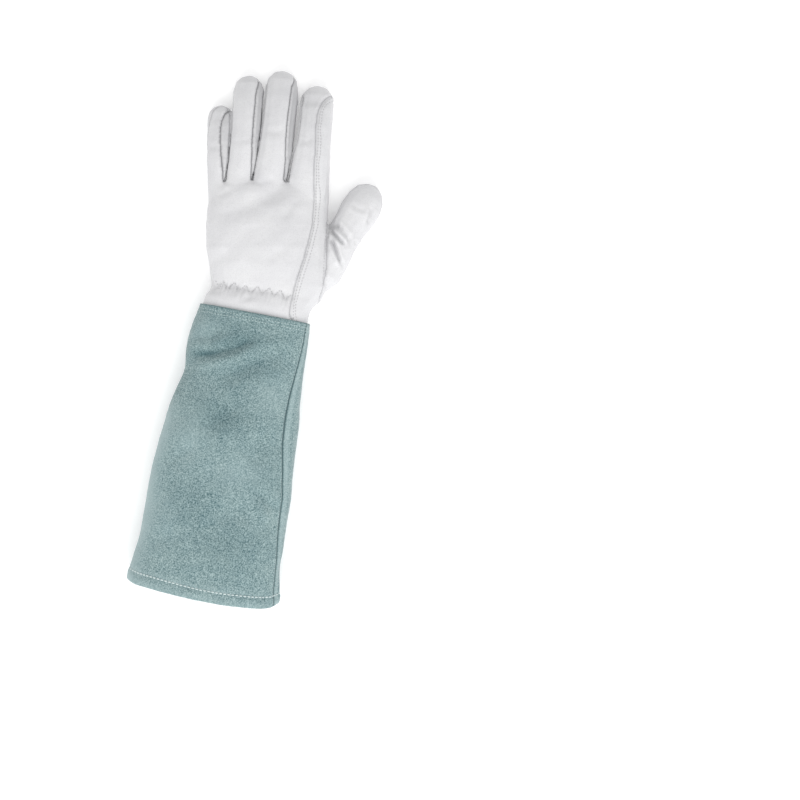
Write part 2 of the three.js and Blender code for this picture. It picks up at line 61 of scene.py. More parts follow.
# How high over the floor the lines read in the picture lie.
FOLD_HEIGHT = 44.0
SIDE_SEAM_HEIGHT = 34.0
WRIST_HEIGHT = 33.0
FINGER_HEIGHT = 18.0
THUMB_HEIGHT = 16.0

FORWARD = np.array([math.sin(CUFF_LEAN), math.cos(CUFF_LEAN), 0.0])
ACROSS = np.array([math.cos(CUFF_LEAN), -math.sin(CUFF_LEAN), 0.0])
UP = np.array([0, 0, 1.0])

HAND_PANELS = [
    "back_panel",
    "palm_panel",
    "thumb_back",
    "thumb_front",
    "fourchette_little_ring",
    "fourchette_ring_middle",
    "fourchette_middle_index",
]


def solid_arrays(name):
    """Vertices in millimetres and triangles of a CAD solid."""
    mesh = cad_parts[name].data
    mesh.calc_loop_triangles()
    points = np.empty(len(mesh.vertices) * 3)
    mesh.vertices.foreach_get("co", points)
    triangles = np.empty(len(mesh.loop_triangles) * 3, np.int32)
    mesh.loop_triangles.foreach_get("vertices", triangles)
    return points.reshape(-1, 3) / MM, triangles.reshape(-1, 3)


def joined_solids(names):
    """All those solids in one pair of arrays, with the place of each triangle's name in the list."""
    points, triangles, owners = [], [], []
    start = 0
    for place, name in enumerate(names):
        p, t = solid_arrays(name)
        points.append(p)
        triangles.append(t + start)
        owners.append(np.full(len(t), place))
        start += len(p)
    return np.concatenate(points), np.concatenate(triangles), np.concatenate(owners)


# Meshes as arrays


def edges_of(faces):
    """Edges of quads as sorted pairs, and the place of each face's four edges among them."""
    ends = np.stack([faces, np.roll(faces, -1, axis=1)], axis=-1).reshape(-1, 2)
    ends = np.sort(ends, axis=1).astype(np.int64)
    size = int(ends.max()) + 1
    keys, index = np.unique(ends[:, 0] * size + ends[:, 1], return_inverse=True)
    return np.stack([keys // size, keys % size], axis=1), index.reshape(-1, faces.shape[1])


def spread(index, values, count):
    """Sum of the rows of values at each index."""
    columns = [np.bincount(index, weights=values[:, c], minlength=count) for c in range(values.shape[1])]
    return np.stack(columns, axis=1)


def neighbour_sum(edges, values):
    """Sum of the rows of values over the points that share an edge with each point."""
    a, b = edges.T
    return spread(a, values[b], len(values)) + spread(b, values[a], len(values))


def smoothed(points, edges, rounds, weights=None, pushes=(0.5, -0.53)):
    """Smoothing: each round pulls points to their neighbours' middle, then pushes them back."""
    degree = np.maximum(np.bincount(edges.ravel(), minlength=len(points)), 1)[:, None]
    weights = np.ones((len(points), 1)) if weights is None else weights[:, None]
    for _ in range(rounds):
        for push in pushes:
            middle = neighbour_sum(edges, points) / degree
            points = points + push * weights * (middle - points)
    return points


def face_normals(points, faces):
    """Normals of quads, as long as twice their area."""
    first = points[faces[:, 2]] - points[faces[:, 0]]
    second = points[faces[:, 3]] - points[faces[:, 1]]
    return np.cross(first, second)


def vertex_normals(points, faces):
    """Unit normals at the points of quads."""
    flat = face_normals(points, faces)
    total = np.zeros_like(points)
    for corner in range(faces.shape[1]):
        total += spread(faces[:, corner], flat, len(points))
    length = norm(total, axis=1, keepdims=True)
    return total / np.maximum(length, 1e-9)


def thick_arrays(points, normals, faces, thickness):
    """A closed wall: the faces outside, their offset inside, and a rim along every open edge."""
    used, local = np.unique(faces, return_inverse=True)
    outer_faces = local.reshape(faces.shape)
    outer = points[used]
    inner = outer - normals[used] * thickness
    count = len(used)
    starts = outer_faces.ravel()
    ends = np.roll(outer_faces, -1, axis=1).ravel()
    keys = np.minimum(starts, ends).astype(np.int64) * count + np.maximum(starts, ends)
    _, index, times = np.unique(keys, return_inverse=True, return_counts=True)
    open_edge = times[index] == 1
    a, b = starts[open_edge], ends[open_edge]
    rim = np.stack([b, a, a + count, b + count], axis=1)
    everything = np.concatenate([outer_faces, outer_faces[:, ::-1] + count, rim])
    return np.concatenate([outer, inner]), everything


def put_in_scene(name, data):
    """An object in the scene that holds a mesh, a light or a camera."""
    holder = bpy.data.objects.new(name, data)
    bpy.context.scene.collection.objects.link(holder)
    return holder


def make_object(name, points, faces, material):
    """An object from points in metres and faces, both as lists."""
    mesh = bpy.data.meshes.new(name)
    mesh.from_pydata(points, [], faces)
    mesh.materials.append(material)
    return put_in_scene(name, mesh)


def make_leather(name, points, faces, material):
    """A smooth piece from arrays of points in millimetres and faces."""
    piece = make_object(name, (points * MM).tolist(), faces.tolist(), material)
    piece.data.validate()
    piece.data.shade_smooth()
    return piece


def chains_of(edges):
    """Edges that follow each other, as lists of vertices in order, the longest first."""
    neighbours = {}
    for a, b in edges.tolist():
        neighbours.setdefault(a, []).append(b)
        neighbours.setdefault(b, []).append(a)
    left = {tuple(sorted(e)) for e in edges.tolist()}
    ends = [v for v, near in neighbours.items() if len(near) != 2] + list(neighbours)
    chains = []
    for first in ends:
        for second in neighbours[first]:
            if tuple(sorted((first, second))) not in left:
                continue
            chain = [first, second]
            left.discard(tuple(sorted((first, second))))
            while len(neighbours[chain[-1]]) == 2:
                here = chain[-1]
                after = [v for v in neighbours[here] if tuple(sorted((here, v))) in left]
                if not after:
                    break
                left.discard(tuple(sorted((here, after[0]))))
                chain.append(after[0])
            chains.append(chain)
    return sorted(chains, key=len, reverse=True)


def evenly(path, gap):
    """A path's points taken again at an even gap along its length."""
    path = np.asarray(path, float)
    steps = norm(np.diff(path, axis=0), axis=1)
    reach = np.concatenate([[0], np.cumsum(steps)])
    count = max(int(reach[-1] / gap), 1)
    places = np.linspace(0, reach[-1], count + 1)
    return np.stack([np.interp(places, reach, path[:, c]) for c in range(path.shape[1])], axis=1)


def eased(path, rounds):
    """A path with its steps smoothed out and its ends kept."""
    path = np.array(path, float)
    for _ in range(rounds):
        path[1:-1] += 0.5 * ((path[:-2] + path[2:]) / 2 - path[1:-1])
    return path


def path_distance(points, path):
    """Distance of points from a path, and how far along it they lie, from 0 to 1."""
    best = np.full(len(points), np.inf)
    along = np.zeros(len(points))
    steps = norm(np.diff(path, axis=0), axis=1)
    reach = np.concatenate([[0], np.cumsum(steps)])
    for start, end, far, step in zip(path[:-1], path[1:], reach, steps):
        line = (end - start) / step
        away = points - start
        place = np.clip(away @ line, 0, step)
        distance = norm(away - place[:, None] * line, axis=1)
        closer = distance < best
        best = np.where(closer, distance, best)
        along = np.where(closer, (far + place) / reach[-1], along)
    return best, along


def surface_of(points, faces):
    """A surface to cast rays at and to find nearest points on."""
    return BVHTree.FromPolygons(points.reshape(-1, 3).tolist(), faces.tolist())


def bell(values, width):
    """1 where values are 0, fading on both sides over about that width."""
    return np.exp(-((values / width) ** 2))


def ramp(values, low, high):
    """A smooth step from 0 at low to 1 at high."""
    t = np.clip((values - low) / (high - low), 0, 1)
    return t * t * (3 - 2 * t)


def waves(points, wavelength, seed):
    """Smooth noise between about -1 and 1 at points."""
    spots = (points / wavelength + seed * 17.3).tolist()
    return np.array([noise.noise(spot) for spot in spots]) * 1.6


def uneven(points, rows):
    """Leather is never quite even: waves by depth, length and seed."""
    return sum(depth * waves(points, length, seed) for depth, length, seed in rows)


def seen(points, height):
    """Places over the floor of points read in the picture, for what lies at that height."""
    away = (np.asarray(points, float) - PICTURE_SIZE / 2) * [PICTURE_SCALE, -PICTURE_SCALE]
    return PICTURE_MIDDLE + away * (1 - np.asarray(height) / CAMERA_HEIGHT)


def in_picture(points):
    """Where points are seen in the picture, in its pixels."""
    nearer = 1 - points[..., 2:] / CAMERA_HEIGHT
    away = (points[..., :2] - PICTURE_MIDDLE) / nearer
    return PICTURE_SIZE / 2 + away / [PICTURE_SCALE, -PICTURE_SCALE]


SKY = 300.0


def from_above(surface, x, y):
    """The highest point of a surface over that place of the floor."""
    return surface.ray_cast(Vector((x, y, SKY)), Vector((0, 0, -1)))[0]


def laid_on(surface, points, height):
    """Points read in the picture, put on the surface under them, which lies at about that height."""
    heights = np.full((len(points), 1), height)
    for _ in range(3):
        spots = seen(points, heights)
        hits = [from_above(surface, x, y) for x, y in spots]
        heights = np.array([[height if hit is None else hit.z] for hit in hits])
    return np.concatenate([seen(points, heights), heights], axis=1)


# Materials


def node_of(tree, kind, **values):
    """A shader node with its inputs or settings given by name."""
    node = tree.nodes.new("ShaderNode" + kind)
    for key, value in values.items():
        if key in node.inputs:
            node.inputs[key].default_value = value
        else:
            setattr(node, key, value)
    return node


def set_inputs(node, values):
    """Gives a node's inputs their values by name."""
    for key, value in values.items():
        node.inputs[key].default_value = value


def new_material(name, roughness, sheen=0.0):
    """A material, its node tree and its shader."""
    material = bpy.data.materials.new(name)
    material.use_nodes = True
    tree = material.node_tree
    shader = tree.nodes["Principled BSDF"]
    set_inputs(shader, {"Roughness": roughness, "Specular IOR Level": 0.35})
    if sheen:
        set_inputs(shader, {"Sheen Weight": sheen, "Sheen Roughness": 0.5})
    return material, tree, shader


def noise_field(tree, place, scale, detail=3.0, roughness=0.55):
    """Noise from 0 to 1 with about that many waves to a metre."""
    field = node_of(tree, "TexNoise", Scale=scale, Detail=detail, Roughness=roughness)
    tree.links.new(place, field.inputs["Vector"])
    return field.outputs["Fac"]


def colour_ramp(tree, source, stops):
    """Colours that follow a value, from stops of a value and a colour."""
    band = node_of(tree, "ValToRGB")
    elements = band.color_ramp.elements
    while len(elements) < len(stops):
        elements.new(0.5)
    for element, (place, colour) in zip(elements, stops):
        element.position = place
        element.color = (*colour, 1.0)
    tree.links.new(source, band.inputs["Fac"])
    return band.outputs["Color"]


def mixed(tree, first, second, factor, blend="MIX"):
    """Two colours blended, each given as a node's output or as a colour."""
    mix = node_of(tree, "Mix", data_type="RGBA", blend_type=blend)
    sockets = {socket.identifier: socket for socket in mix.inputs}
    for socket, value in (("A_Color", first), ("B_Color", second), ("Factor_Float", factor)):
        if isinstance(value, bpy.types.NodeSocket):
            tree.links.new(value, sockets[socket])
        elif socket == "Factor_Float":
            sockets[socket].default_value = value
        else:
            sockets[socket].default_value = (*value, 1.0)
    return {socket.identifier: socket for socket in mix.outputs}["Result_Color"]


def painted(tree, name):
    """What a mesh says of itself at each point, from 0 to 1."""
    return node_of(tree, "Attribute", attribute_name=name).outputs["Fac"]


def bumped(tree, shader, heights):
    """One bump after another, each with its height, its depth in millimetres and its strength."""
    normal = None
    for height, depth, strength in heights:
        bump = node_of(tree, "Bump", Strength=strength, Distance=depth * MM)
        tree.links.new(height, bump.inputs["Height"])
        if normal is not None:
            tree.links.new(normal, bump.inputs["Normal"])
        normal = bump.outputs["Normal"]
    tree.links.new(normal, shader.inputs["Normal"])


def hide_material():
    material, tree, shader = new_material("pale_hide", 0.5, sheen=0.05)
    place = node_of(tree, "TexCoord").outputs["Object"]
    clouds = noise_field(tree, place, 34.0, 3.0)
    colour = colour_ramp(tree, clouds, [(0.3, (0.645, 0.645, 0.66)), (0.7, (0.71, 0.71, 0.72))])
    pores = noise_field(tree, place, 1500.0, 1.0, 0.5)
    specks = colour_ramp(tree, pores, [(0.3, (0.9, 0.9, 0.9)), (0.5, (1.0, 1.0, 1.0))])
    colour = mixed(tree, colour, specks, 1.0, "MULTIPLY")
    # Painted shade in folds and gathers, between the fingers, at the tips and along the zigzag.
    colour = mixed(tree, colour, (0.42, 0.42, 0.43), painted(tree, "shade"))
    # The seams' dark lines, darker still by painted shade on the strips' seams between the fingers.
    colour = mixed(tree, colour, (0.26, 0.26, 0.27), painted(tree, "seam"))
    tree.links.new(colour, shader.inputs["Base Color"])
    grain = noise_field(tree, place, 1100.0, 2.0, 0.6)
    wrinkles = noise_field(tree, place, 190.0, 4.0, 0.62)
    bumped(tree, shader, [(wrinkles, 0.55, 0.35), (grain, 0.16, 0.35)])
    return material


def suede_material():
    material, tree, shader = new_material("teal_suede", 0.95, sheen=0.2)
    place = node_of(tree, "TexCoord").outputs["Object"]
    clouds = noise_field(tree, place, 26.0, 4.0, 0.6)
    patches = noise_field(tree, place, 120.0, 3.0, 0.6)
    speckle = noise_field(tree, place, 1000.0, 4.0, 0.65)
    fuzz = noise_field(tree, place, 3200.0, 2.0, 0.6)
    base = colour_ramp(tree, clouds, [(0.36, (0.125, 0.22, 0.24)), (0.64, (0.24, 0.34, 0.34))])
    blot = colour_ramp(tree, patches, [(0.38, (0.115, 0.21, 0.23)), (0.62, (0.255, 0.355, 0.355))])
    nap = colour_ramp(tree, speckle, [(0.37, (0.0, 0.05, 0.062)), (0.65, (0.50, 0.625, 0.625))])
    colour = mixed(tree, mixed(tree, base, blot, 0.45), nap, 0.6)
    # Painted shade along the cuff's folds, and its darker patches.
    colour = mixed(tree, colour, (0.36, 0.47, 0.5), painted(tree, "dark"), "MULTIPLY")
    # Painted highlights beside the side seam and on the left side; paler bands at the hem and paler patches.
    colour = mixed(tree, colour, (0.36, 0.47, 0.48), painted(tree, "paler_and_highlight"))
    # The side seam's dark line, and a painted shadow line along the top edge.
    colour = mixed(tree, colour, (0.05, 0.10, 0.11), painted(tree, "seam"))
    tree.links.new(colour, shader.inputs["Base Color"])
    bumped(tree, shader, [(patches, 0.6, 0.25), (speckle, 0.5, 0.5), (fuzz, 0.15, 0.5)])
    return material


def thread_material(name, colour):
    material, tree, shader = new_material(name, 0.7, sheen=0.1)
    place = node_of(tree, "TexCoord").outputs["Object"]
    fibres = noise_field(tree, place, 2600.0, 2.0)
    darker = tuple(0.75 * c for c in colour)
    tree.links.new(colour_ramp(tree, fibres, [(0.35, darker), (0.6, colour)]), shader.inputs["Base Color"])
    bumped(tree, shader, [(fibres, 0.1, 0.5)])
    return material


def paint(piece, name, values):
    """Writes a value for each vertex, which the material reads."""
    layer = piece.data.attributes.new(name, "FLOAT", "POINT")
    layer.data.foreach_set("value", np.ascontiguousarray(np.clip(values, 0, 1), dtype=np.float32))


# Stitches

STITCH_SIDES = 6
STITCH_SINK = 0.25
STITCH_FLATNESS = 0.7


def stitch_rows(length, width):
    """Rows of a stitch: how far along it each lies, and how wide it is there."""
    cap = width * 0.8
    start = [(0.0, 0.0), (0.25 * cap, 0.7), (cap, 1.0)]
    return start + [(length - far, wide) for far, wide in reversed(start)]


def stitches(name, paths, surface, length, gap, width, material):
    """A row of stitches along each path, half sunk in the surface, as one mesh."""
    sides = STITCH_SIDES
    points, faces = [], []
    turn = np.arange(sides) * 2 * math.pi / sides
    for path in paths:
        spots = evenly(path, length + gap)
        for start, end in zip(spots[:-1], spots[1:]):
            along = end - start
            step = norm(along)
            along = along / step
            middle = (start + end) / 2
            place, normal, _, _ = surface.find_nearest(Vector(middle))
            up = np.array(normal)
            up -= along * (up @ along)
            up /= norm(up)
            over = np.cross(along, up)
            lift = width * (STITCH_FLATNESS / 2 - STITCH_SINK)
            base = np.array(place) - along * length / 2 + up * lift
            first = len(points)
            for far, wide in stitch_rows(length, width):
                if wide == 0:
                    points.append(base + along * far)
                    continue
                ring = np.cos(turn)[:, None] * over + STITCH_FLATNESS * np.sin(turn)[:, None] * up
                points.extend(base + along * far + ring * wide * width / 2)
            last = len(points) - 1
            for s in range(sides):
                t = (s + 1) % sides
                faces.append((first, first + 1 + t, first + 1 + s))
                for row in range(3):
                    low = first + 1 + row * sides
                    faces.append((low + s, low + t, low + sides + t, low + sides + s))
                faces.append((last, last - sides + s, last - sides + t))
    piece = make_object(name, (np.array(points) * MM).tolist(), faces, material)
    piece.data.shade_smooth()
    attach(piece, "root")
    return piece


hide = hide_material()
suede = suede_material()
# The hand's pale thread is painted grey, darker than the hide, as painted shade for its stitch holes.
shaded_pale_thread = thread_material("shaded_pale_thread", (0.6, 0.6, 0.61))
aqua_thread = thread_material("aqua_thread", (0.44, 0.56, 0.56))
hem_thread = thread_material("hem_thread", (0.66, 0.76, 0.76))


# The cuff: rows round its middle line, read from the outside of the CAD wall


def blurred(rows, sigma_along, sigma_round):
    """A grid blurred along its columns and round its rows, which close on themselves."""
    for axis, sigma in ((0, sigma_along), (1, sigma_round)):
        reach = int(3 * sigma) + 1
        kernel = np.exp(-0.5 * (np.arange(-reach, reach + 1) / sigma) ** 2)
        kernel /= kernel.sum()
        mode = "edge" if axis == 0 else "wrap"
        width = [(reach, reach) if a == axis else (0, 0) for a in (0, 1)]
        padded = np.pad(rows, width, mode=mode)
        size = rows.shape[axis]
        rows = sum(k * np.take(padded, np.arange(i, i + size), axis=axis) for i, k in enumerate(kernel))
    return rows


def ring_quads(rows, columns, closed=False):
    """Quads of a grid whose rows close on themselves, and whose columns do too if it is closed."""
    i, j = np.meshgrid(np.arange(rows if closed else rows - 1), np.arange(columns), indexing="ij")
    below, beside = (i + 1) % rows, (j + 1) % columns
    corners = [i * columns + j, i * columns + beside, below * columns + beside, below * columns + j]
    return np.stack(corners, axis=-1).reshape(-1, 4)


cuff_points, cuff_triangles = solid_arrays("cuff")
rim_along = (cuff_points @ FORWARD).max()
rim = cuff_points[cuff_points @ FORWARD > rim_along - 0.5] @ ACROSS
CUFF_TOP = FORWARD * rim_along + ACROSS * (rim.min() + rim.max()) / 2


def cuff_place(points):
    """How far points lie from the cuff's top edge towards the hem, and across it."""
    away = points - CUFF_TOP
    return -(away @ FORWARD), away @ ACROSS


# Rows and columns of its grid, and the height of its middle line at the top edge and at the hem.
ROUND = 240
ALONG = 172
HEART_TOP, HEART_HEM = 18.0, 23.0
OUTSIDE = 150.0
END_INSET = 0.004
cuff_lookup = surface_of(cuff_points, cuff_triangles)
angles = np.arange(ROUND) * 2 * math.pi / ROUND
steps = np.linspace(0, 1, ALONG)
bow = (HEM_BOW * np.sin(angles) ** 2 + HEM_SKEW * np.cos(angles))[None, :] * steps[:, None] ** 3
outwards = ACROSS * np.cos(angles)[:, None] + UP * np.sin(angles)[:, None]
heart_height = HEART_TOP + (HEART_HEM - HEART_TOP) * steps
middle_line = CUFF_TOP - FORWARD * (steps[:, None] * CUFF_LENGTH + bow)[..., None]
middle_line = middle_line + UP * heart_height[:, None, None]
radius = np.full((ALONG, ROUND), np.nan)
for i in range(ALONG):
    inside = min(max(steps[i], END_INSET), 1 - END_INSET) - steps[i]
    for j in range(ROUND):
        centre = middle_line[i, j] - FORWARD * inside * CUFF_LENGTH
        hit = cuff_lookup.ray_cast(Vector(centre + outwards[j] * OUTSIDE), Vector(-outwards[j]))[0]
        if hit is not None:
            radius[i, j] = (Vector(centre) - hit).length
columns = np.arange(ROUND)
for row in radius:
    known = np.isfinite(row)
    row[~known] = np.interp(columns[~known], columns[known], row[known])
radius = blurred(radius, 3.0, 2.0)
cuff_skin = middle_line + radius[..., None] * outwards[None]

# The hem follows its edge in the picture, and its underside stays a little shorter.
HEM_EDGE = [
    (126.5, 573), (128, 577), (133.7, 582.5), (163, 591), (194.7, 599), (226, 604.6),
    (257.8, 607.8), (271, 607), (277, 603.5), (279.5, 597), (280.5, 590),
]
HEM_UNDER = 1.6
rim_seen = in_picture(cuff_skin[-1])
hem_edge = np.array(HEM_EDGE)
edge_y = np.interp(rim_seen[:, 0], hem_edge[:, 0], hem_edge[:, 1])
lift = (rim_seen[:, 1] - edge_y) * PICTURE_SCALE + HEM_UNDER * ramp(-np.sin(angles), 0.05, 0.5)
lift = blurred(np.repeat(lift[None], 3, axis=0), 0.1, 2.5)[1]
cuff_skin += FORWARD * (lift[None, :] * steps[:, None] ** 8)[..., None]
cuff_quads = ring_quads(ALONG, ROUND)


def cuff_normals(grid):
    """Normals of a grid laid out like the cuff."""
    return vertex_normals(grid.reshape(-1, 3), cuff_quads).reshape(grid.shape)


# Its side seam, in the picture.
SIDE_SEAM = [
    (306, 326), (305, 336), (297.8, 370), (289.4, 399), (285.2, 420.5), (282.7, 444),
    (283.5, 479), (282.7, 500.5), (279, 526), (276.8, 553), (274.5, 590), (273.5, 608),
]
# Folds of the cuff: depth, width, how much painted shade they get, and their way in the picture.
CUFF_FOLDS = [
    (2.8, 4.0, 0.38, [(184, 362), (196, 355), (214, 353), (236, 347), (257, 337)]),
    (1.7, 6.0, 0.2, [(215, 383), (236, 372), (262, 360), (299, 349)]),
    (1.3, 6.0, 0.15, [(190, 331), (204, 338), (222, 335)]),
    (1.3, 7.0, 0.1, [(200, 438), (218, 416), (245, 402)]),
    (1.3, 4.5, 0.15, [(254, 489), (266, 502), (277, 514)]),
    (1.0, 7.0, 0.1, [(165, 470), (182, 452), (199, 447)]),
    (0.9, 8.0, 0.1, [(214, 524), (238, 512), (258, 516)]),
    (0.8, 6.0, 0.1, [(150, 545), (170, 537), (186, 541)]),
    (0.8, 7.0, 0.1, [(240, 462), (258, 448), (276, 446)]),
]
# Darker and paler patches: how strong, how long and wide, and where in the picture.
CUFF_PATCHES = [
    # The first two are painted shade along the main fold.
    (0.8, 13, 3, (204, 353)),
    (0.5, 24, 5, (246, 342)),
    (0.4, 24, 9, (262, 372)),
    (0.3, 22, 12, (232, 330)),
    (0.45, 22, 16, (218, 418)),
    (0.25, 18, 20, (190, 500)),
    (0.3, 26, 18, (232, 548)),
    (0.25, 12, 20, (265, 470)),
    (-0.3, 14, 20, (190, 436)),
    (-0.25, 20, 14, (240, 473)),
    (-0.25, 14, 16, (272, 395)),
    (-0.2, 10, 24, (163, 520)),
    (-0.2, 16, 8, (208, 322)),
    (-0.3, 11, 7, (196, 334)),
]
SUEDE_WAVES = [(0.9, 46.0, 7), (0.35, 17.0, 8), (0.1, 5.0, 9)]
cuff_up = cuff_normals(cuff_skin)
flat_skin = cuff_skin.reshape(-1, 3)
flat_up = cuff_up.reshape(-1, 3)
sunk = np.zeros(len(flat_skin))
above = ramp(flat_up[:, 2], -0.2, 0.4)
crease_shade = np.zeros(len(flat_skin))
for depth, width, tone, way in CUFF_FOLDS:
    far, along = path_distance(flat_skin[:, :2], seen(way, FOLD_HEIGHT))
    ends = ramp(along, 0, 0.3) * (1 - ramp(along, 0.7, 1.0))
    crease_shade += tone * bell(far, 0.4 * width) * ends * above
    sunk += depth * (bell(far, width) - 0.4 * bell(far - 2 * width, width)) * ends * above
sunk += uneven(flat_skin, SUEDE_WAVES)

# Where the side seam crosses each row, measured round it.
arc = norm(np.diff(cuff_skin, axis=1, append=cuff_skin[:, :1]), axis=2)
reach = np.concatenate([np.zeros((ALONG, 1)), np.cumsum(arc, axis=1)[:, :-1]], axis=1)
seam_way = seen(SIDE_SEAM, SIDE_SEAM_HEIGHT)
seam_place = np.empty(ALONG)
for i in range(ALONG):
    row = cuff_skin[i, : ROUND // 4]
    line = np.interp(-row[:, 1], -seam_way[:, 1], seam_way[:, 0])
    gap = row[:, 0] - line
    crossing = max(np.argmax(gap < 0) if (gap < 0).any() else 4, 3)
    share = min(max(gap[crossing - 1] / (gap[crossing - 1] - gap[crossing]), 0.0), 1.0)
    seam_place[i] = reach[i, crossing - 1] + share * arc[i, crossing - 1]
seam_place = blurred(np.repeat(seam_place[:, None], 3, axis=1), 5.0, 0.1)[:, 1]
girth = arc.sum(axis=1)

# The columns are laid out again from the seam, closer together beside it.
SEAM_CROWDING = 0.45
turn = np.arange(ROUND) / ROUND
turn -= SEAM_CROWDING * np.sin(2 * math.pi * turn) / (2 * math.pi)
laid = np.column_stack([flat_skin, flat_up, sunk, above, crease_shade]).reshape(ALONG, ROUND, -1)
moved = np.empty_like(laid)
for i in range(ALONG):
    stops = np.append(reach[i], girth[i])
    at = (seam_place[i] + turn * girth[i]) % girth[i]
    row = np.vstack([laid[i], laid[i, :1]])
    moved[i] = np.column_stack([np.interp(at, stops, column) for column in row.T])
flat_skin = moved[..., 0:3].reshape(-1, 3)
flat_up = moved[..., 3:6].reshape(-1, 3)
flat_up /= norm(flat_up, axis=1, keepdims=True)
sunk = moved[..., 6].ravel()
above = moved[..., 7]
crease_shade = moved[..., 8]
half_girth = girth[:, None] / 2
from_seam = -((turn * girth[:, None] + half_girth) % girth[:, None] - half_girth)
down_cuff = np.repeat(steps[:, None] * CUFF_LENGTH, ROUND, axis=1)
up_hem = CUFF_LENGTH - down_cuff

# The side seam is a groove with a lower strip beside it.
SEAM_DEPTH, SEAM_WIDTH, STRIP_DEPTH = 0.95, 0.85, 0.45
seam_cut = SEAM_DEPTH * bell(from_seam, SEAM_WIDTH)
seam_cut += STRIP_DEPTH * ramp(from_seam, -0.6, 0.8) * (1 - ramp(from_seam, 4.0, 10.0))

# Both ends are turned in and stand a little proud. Their rows of stitches pull them in, unevenly.
HEM_ROW = 7.2
HEM_RISE, HEM_PULL, HEM_WAVINESS = 0.5, 0.5, 0.28
TOP_ROWS = (2.9, 5.4)
TOP_RISE, TOP_PULL, TOP_WAVINESS = 0.35, 0.3, 0.12
hem_wave = blurred(np.random.default_rng(5).normal(size=(ALONG, ROUND)), 3.0, 2.2)
hem_wave /= hem_wave.std()
turned_hem = 1 - ramp(up_hem, HEM_ROW - 1.2, HEM_ROW + 0.8)
turned_top = 1 - ramp(down_cuff, 6.2, 7.8)
band = -HEM_RISE * turned_hem + HEM_PULL * bell(up_hem - HEM_ROW, 0.9)
band += HEM_WAVINESS * hem_wave * bell(up_hem - 6.0, 7.0)
band += -TOP_RISE * turned_top + TOP_WAVINESS * hem_wave * bell(down_cuff - 5.0, 5.0)
for row_place in TOP_ROWS:
    band += TOP_PULL * bell(down_cuff - row_place, 0.8)
sunk += (seam_cut + band).ravel()
flat_skin = flat_skin - flat_up * sunk[:, None]
flat_skin[:, 2] = np.maximum(flat_skin[:, 2], 0.0)
cuff_skin = flat_skin.reshape(ALONG, ROUND, 3)
cuff_up = cuff_normals(cuff_skin)

# The wall, thicker where its edges are turned in, with rounded rims.
HEM_THICKER, TOP_THICKER = 1.1, 0.5
wall = CUFF_LEATHER + HEM_THICKER * (1 - ramp(up_hem, 7.0, 9.0))
wall += TOP_THICKER * (1 - ramp(down_cuff, 6.5, 8.0))
inner_skin = cuff_skin - cuff_up * wall[..., None]
RIM_ROWS = 4
RIM_ROUNDNESS = 0.9


def rim_rows(outer, inner, beyond):
    """Rows of a half circle from the outer edge to the inner one."""
    rows = []
    half = norm(outer - inner, axis=1, keepdims=True) / 2
    for t in np.arange(1, RIM_ROWS + 1) / (RIM_ROWS + 1) * math.pi:
        row = (outer + inner) / 2 + (outer - inner) / 2 * math.cos(t)
        rows.append(row + beyond * half * math.sin(t) * RIM_ROUNDNESS)
    return rows


hem_rim = rim_rows(cuff_skin[-1], inner_skin[-1], -FORWARD)
top_rim = rim_rows(inner_skin[0], cuff_skin[0], FORWARD)
cuff_rows = np.array(list(cuff_skin) + hem_rim + list(inner_skin[::-1]) + top_rim)
cuff_rows[..., 2] = np.maximum(cuff_rows[..., 2], 0.0)
count = len(cuff_rows)
faces = ring_quads(count, ROUND, closed=True)
cuff = make_leather("cuff-suede", cuff_rows.reshape(-1, 3), faces, suede)

# What its material reads: the seam's dark line, painted shade and highlights, and darker and paler patches.
seam_and_edge_shade, paler_and_highlight, dark = np.zeros((3, count, ROUND))
seam_and_edge_shade[:ALONG] = 1.4 * bell(from_seam, 0.8)
# Painted highlight on the strip beside the seam, and paler bands along the hem.
paler_and_highlight[:ALONG] = 0.4 * ramp(from_seam, 0.8, 1.8) * (1 - ramp(from_seam, 5.0, 7.0))
paler_and_highlight[:ALONG] += 0.3 * bell(up_hem - 1.0, 2.0) + 0.2 * bell(up_hem - 8.5, 2.0)
# Painted highlight on its left side, lower down, where it faces left.
left_side_highlight = ramp(-(cuff_up @ ACROSS), 0.35, 0.95) * ramp(cuff_up[..., 2], -0.3, 0.1)
paler_and_highlight[:ALONG] += 0.7 * left_side_highlight * ramp(down_cuff, 70, 92)
# Painted shade along the folds.
dark[:ALONG] = crease_shade
for strength, long, wide, spot in CUFF_PATCHES:
    away = cuff_skin[..., :2] - seen([spot], FOLD_HEIGHT)[0]
    patch = abs(strength) * np.exp(-((away[..., 0] / long) ** 2) - (away[..., 1] / wide) ** 2) * above
    layer = dark if strength > 0 else paler_and_highlight
    layer[:ALONG] += patch
# A painted shadow line along the top edge, in the seam layer.
TOP_EDGE_SHADE = 0.35
seam_and_edge_shade[2 * ALONG + RIM_ROWS :] = TOP_EDGE_SHADE
seam_and_edge_shade[0] = np.maximum(seam_and_edge_shade[0], 0.3)
paint(cuff, "seam", seam_and_edge_shade.ravel())
paint(cuff, "paler_and_highlight", paler_and_highlight.ravel())
paint(cuff, "dark", dark.ravel())
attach(cuff, "root")
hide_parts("cuff")

cuff_surface = surface_of(cuff_skin, cuff_quads)


def cuff_row(distance):
    """The closed path round the cuff at that distance from its top edge."""
    place = distance / CUFF_LENGTH * (ALONG - 1)
    low = int(place)
    row = cuff_skin[low] + (cuff_skin[low + 1] - cuff_skin[low]) * (place - low)
    return np.concatenate([row, row[:1]])


